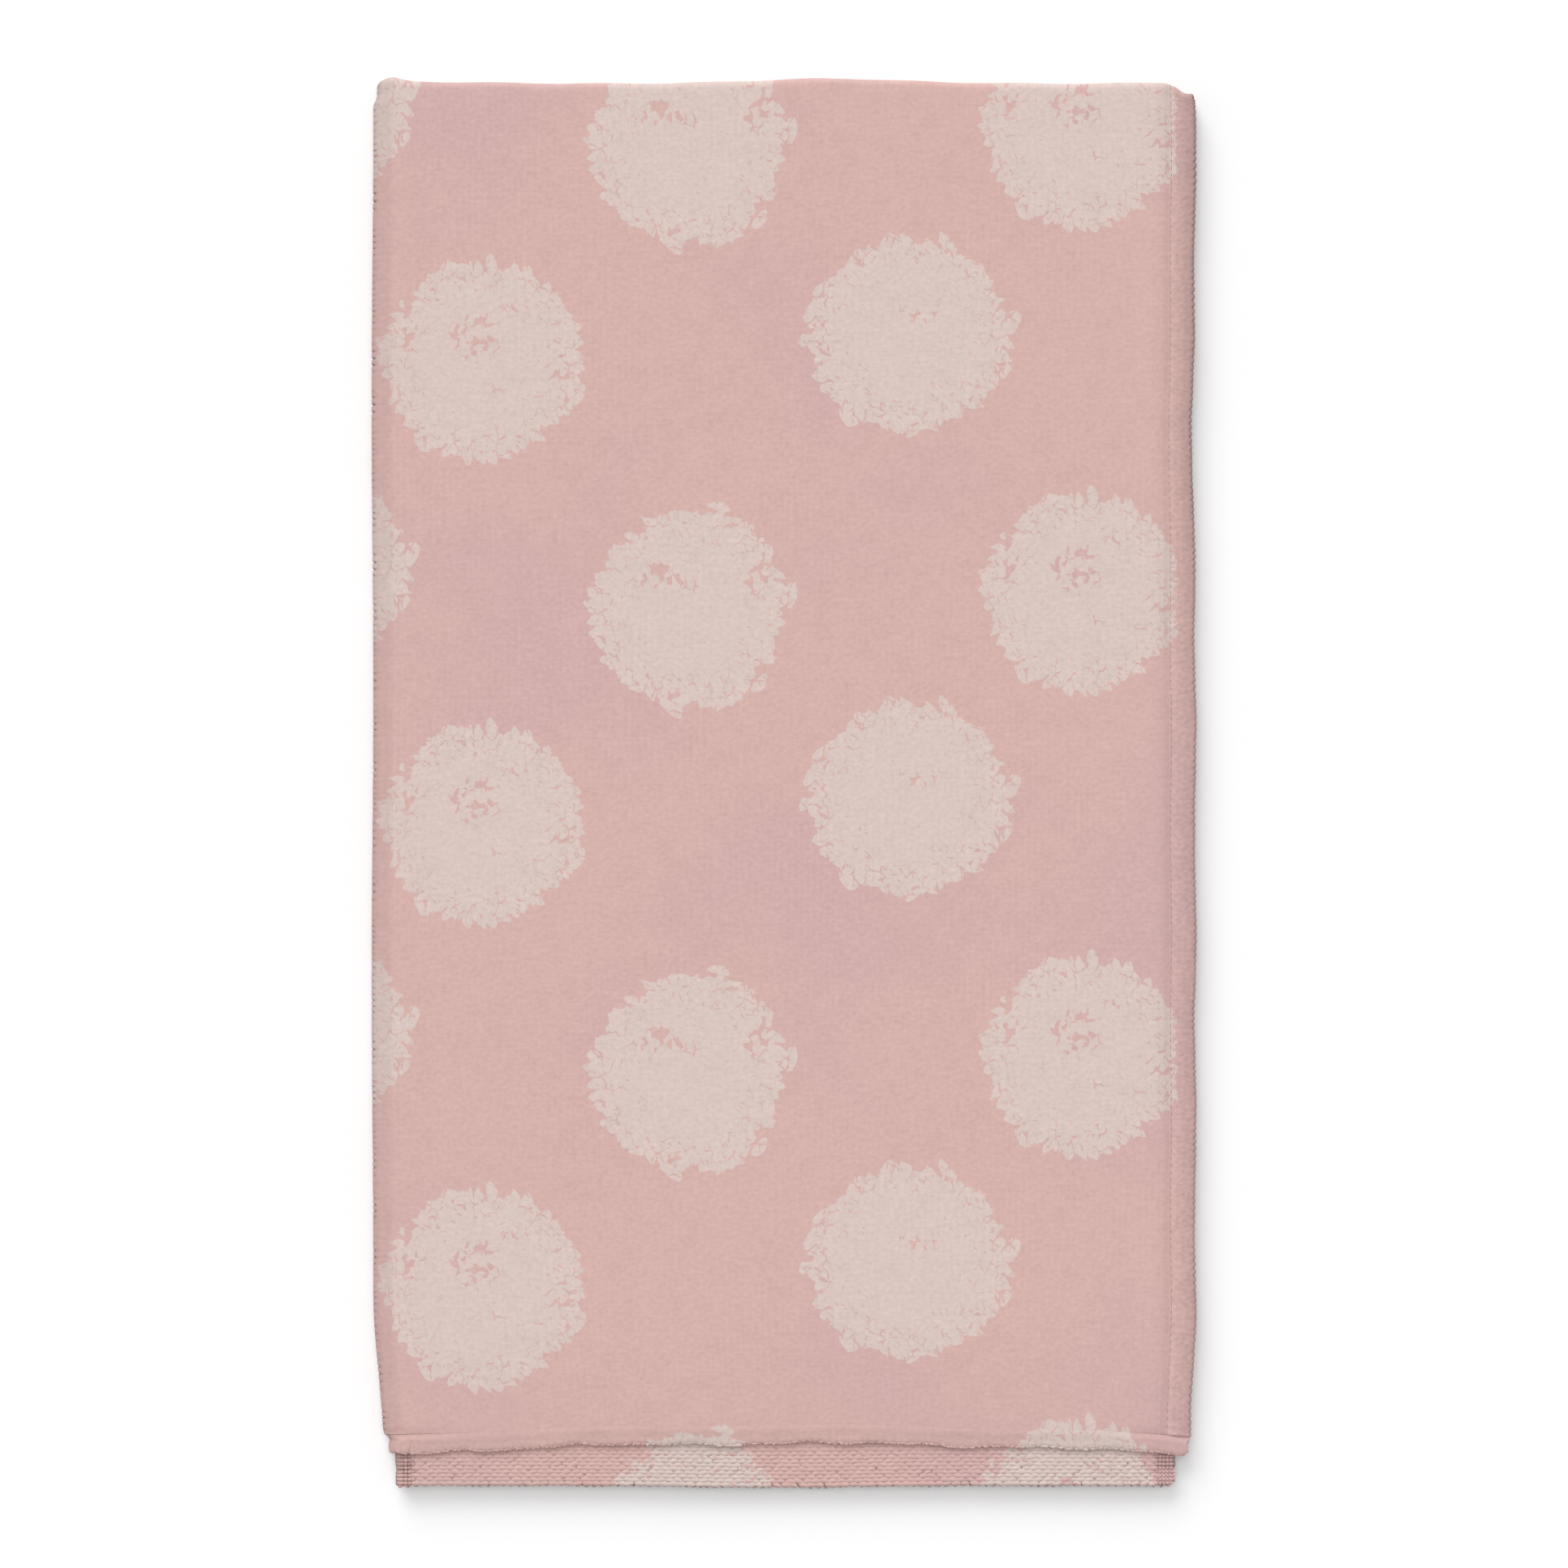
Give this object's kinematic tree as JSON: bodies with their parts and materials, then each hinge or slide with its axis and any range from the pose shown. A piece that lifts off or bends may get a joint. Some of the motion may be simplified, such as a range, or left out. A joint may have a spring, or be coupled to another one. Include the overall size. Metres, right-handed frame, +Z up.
{
  "type": "folded bath towel",
  "caption": "Printed bath towel folded in half crosswise and again lengthwise, lying flat, with turned side and end hems.",
  "frame": {"origin": "centre of the folded towel's footprint, on the surface it lies on", "axes": "+Z up through the layers, +Y along the length towards the crosswise fold, X across from the lengthwise fold (-X) to the hemmed edges (+X)"},
  "size_m": [0.349, 0.594, 0.012],
  "materials": {
    "printed_cloth": "sheared velour pile, pink with cream leafy dots",
    "looped_reverse": "uncut terry loops in rows",
    "hem": "flat-woven edge, turned twice",
    "sewing_thread": "spun polyester sewing thread"
  },
  "bodies": {
    "lower_half": {"folded_corner": "printed_cloth", "inner_fold_end_bobbin_thread": "sewing_thread", "inner_fold_end_hem": "hem", "inner_fold_end_needle_thread": "sewing_thread", "inner_side_fold": "printed_cloth", "lower_back_end_bobbin_thread": "sewing_thread", "lower_back_end_hem": "hem", "lower_back_end_needle_thread": "sewing_thread", "lower_back_panel": "printed_cloth", "lower_back_side_bobbin_thread": "sewing_thread", "lower_back_side_hem": "hem", "lower_back_side_needle_thread": "sewing_thread", "lower_crosswise_fold": "printed_cloth", "lower_fold_bobbin_thread": "sewing_thread", "lower_fold_needle_thread": "sewing_thread", "lower_fold_side_hem": "hem", "lower_front_end_bobbin_thread": "sewing_thread", "lower_front_end_hem": "hem", "lower_front_end_needle_thread": "sewing_thread", "lower_front_panel": "printed_cloth", "lower_front_side_bobbin_thread": "sewing_thread", "lower_front_side_hem": "hem", "lower_front_side_needle_thread": "sewing_thread", "outer_fold_end_bobbin_thread": "sewing_thread", "outer_fold_end_hem": "hem", "outer_fold_end_needle_thread": "sewing_thread", "outer_side_fold": "printed_cloth"},
    "upper_half": {"upper_back_end_bobbin_thread": "sewing_thread", "upper_back_end_hem": "hem", "upper_back_end_needle_thread": "sewing_thread", "upper_back_panel": "looped_reverse", "upper_back_side_bobbin_thread": "sewing_thread", "upper_back_side_hem": "hem", "upper_back_side_needle_thread": "sewing_thread", "upper_crosswise_fold": "printed_cloth", "upper_fold_bobbin_thread": "sewing_thread", "upper_fold_needle_thread": "sewing_thread", "upper_fold_side_hem": "hem", "upper_front_end_bobbin_thread": "sewing_thread", "upper_front_end_hem": "hem", "upper_front_end_needle_thread": "sewing_thread", "upper_front_panel": "printed_cloth", "upper_front_side_bobbin_thread": "sewing_thread", "upper_front_side_hem": "hem", "upper_front_side_needle_thread": "sewing_thread"}
  },
  "joints": [
    {"name": "lengthwise_fold", "type": "hinge", "parent": "lower_half", "child": "upper_half", "pos_m": [-0.1685, 0, 0.006], "axis": [0, -1, 0], "range_deg": [0, 180], "deforming": ["folded_corner", "inner_fold_end_bobbin_thread", "inner_fold_end_hem", "inner_fold_end_needle_thread", "inner_side_fold", "outer_fold_end_bobbin_thread", "outer_fold_end_hem", "outer_fold_end_needle_thread", "outer_side_fold"]}
  ]
}
